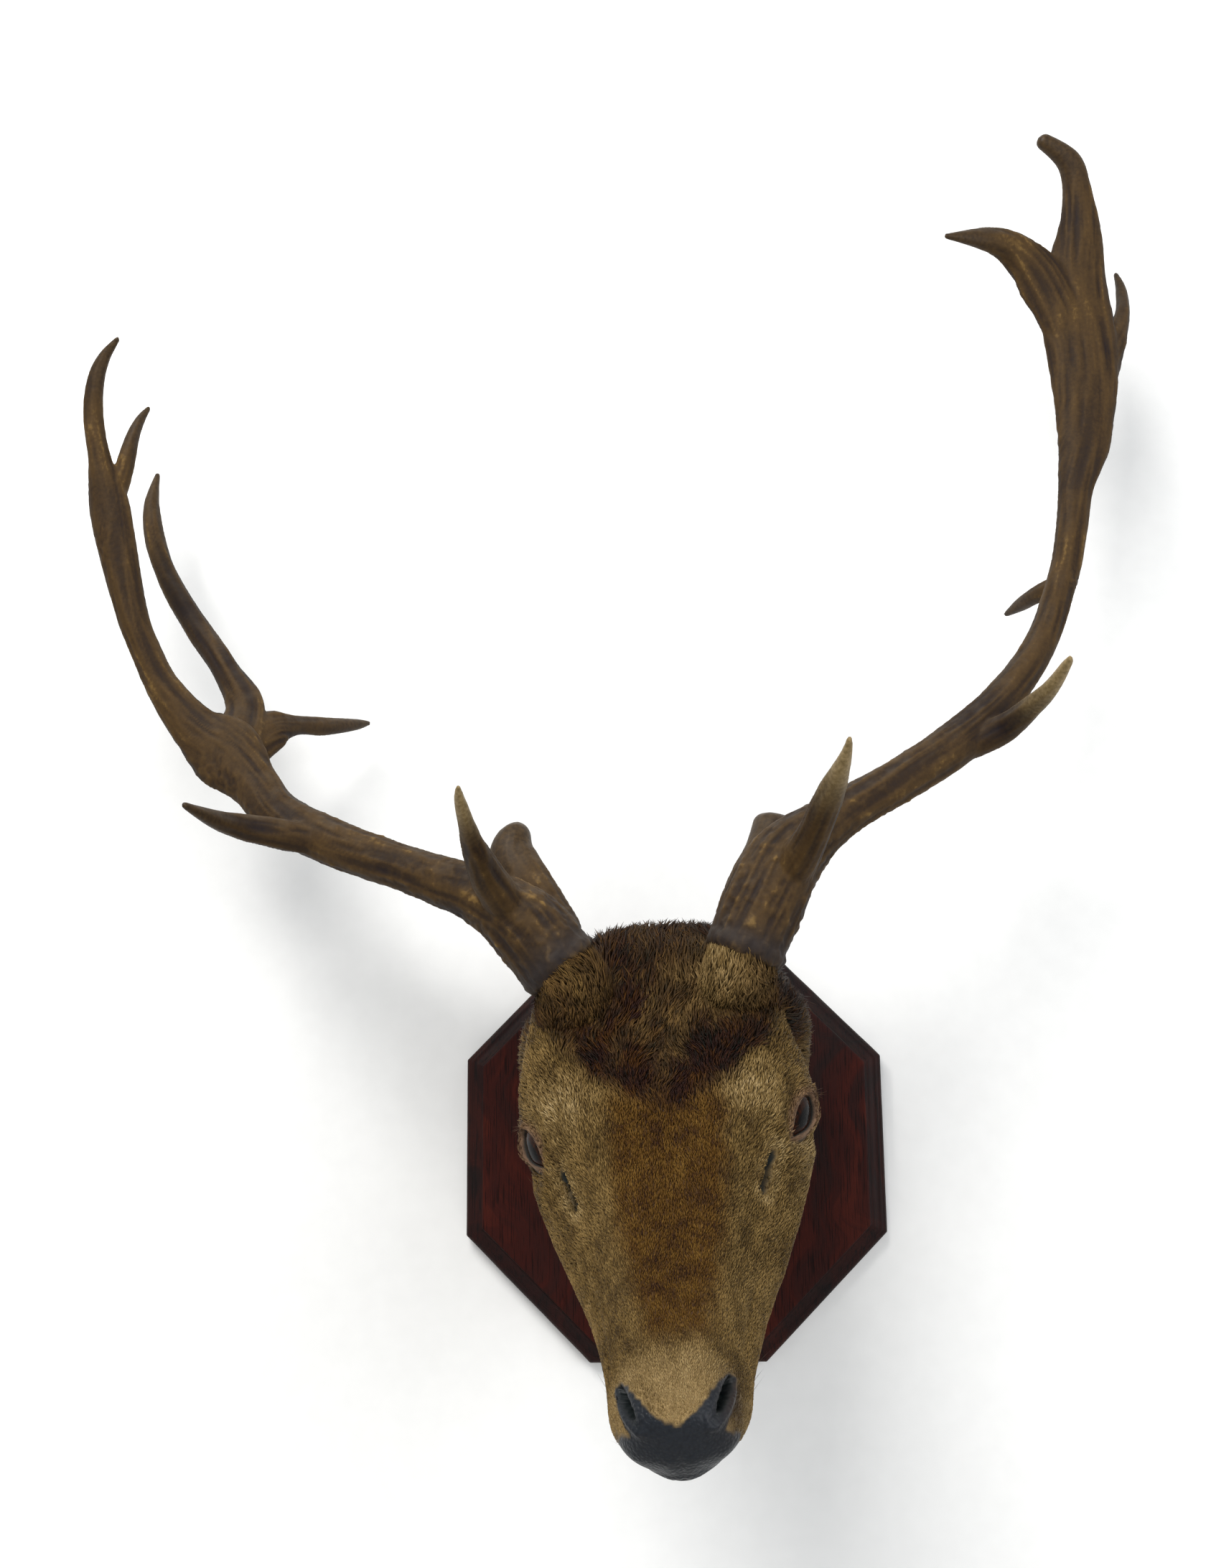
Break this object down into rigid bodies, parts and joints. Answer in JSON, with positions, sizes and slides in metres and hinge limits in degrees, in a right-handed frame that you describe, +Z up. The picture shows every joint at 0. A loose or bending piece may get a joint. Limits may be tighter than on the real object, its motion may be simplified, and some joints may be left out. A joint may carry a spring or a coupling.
{
  "type": "red deer stag head mount",
  "caption": "Stag's head and neck with branching, partly flattened antlers, facing down and forwards from a bevelled octagonal wooden wall shield.",
  "frame": {"origin": "centre of the shield's flat back face, which lies on the wall", "axes": "+Z up, +Y into the wall, the head looks out towards -Y, +X to the viewer's right"},
  "size_m": [0.7548, 0.385, 0.8951],
  "materials": {
    "coat": "short dense deer hair, grey-brown, speckled paler on brows and cheeks, dark brown on the forehead",
    "nose_skin": "bare pebbled nose skin, blue-black, slightly glossy",
    "eye_glass": "dark brown glass eye with a wide pupil, polished",
    "antler_bone": null,
    "shield_wood": "dark red-brown stained and varnished hardwood"
  },
  "bodies": {
    "root": {"board": "shield_wood", "antler_left_burr": "antler_bone", "antler_left_base": "antler_bone", "antler_left_lower_beam": "antler_bone", "antler_left_palm": "antler_bone", "antler_left_upper_beam": "antler_bone", "antler_left_main_tip": "antler_bone", "antler_left_brow_tine": "antler_bone", "antler_left_stub": "antler_bone", "antler_left_trez_tine": "antler_bone", "antler_left_rear_tine": "antler_bone", "antler_left_thorn": "antler_bone", "antler_left_second_tip": "antler_bone", "antler_right_burr": "antler_bone", "antler_right_base": "antler_bone", "antler_right_lower_beam": "antler_bone", "antler_right_middle_beam": "antler_bone", "antler_right_palm": "antler_bone", "antler_right_top_tine": "antler_bone", "antler_right_brow_tine": "antler_bone", "antler_right_stub": "antler_bone", "antler_right_trez_tine": "antler_bone", "antler_right_inner_thorn": "antler_bone", "antler_right_inner_tine": "antler_bone", "antler_right_back_tine": "antler_bone", "nose": "nose_skin", "muzzle": "coat", "lower_jaw": "coat", "head": "coat", "neck": "coat", "eye_left": "eye_glass", "eye_right": "eye_glass", "ear_left": "coat", "ear_right": "coat"}
  },
  "joints": []
}
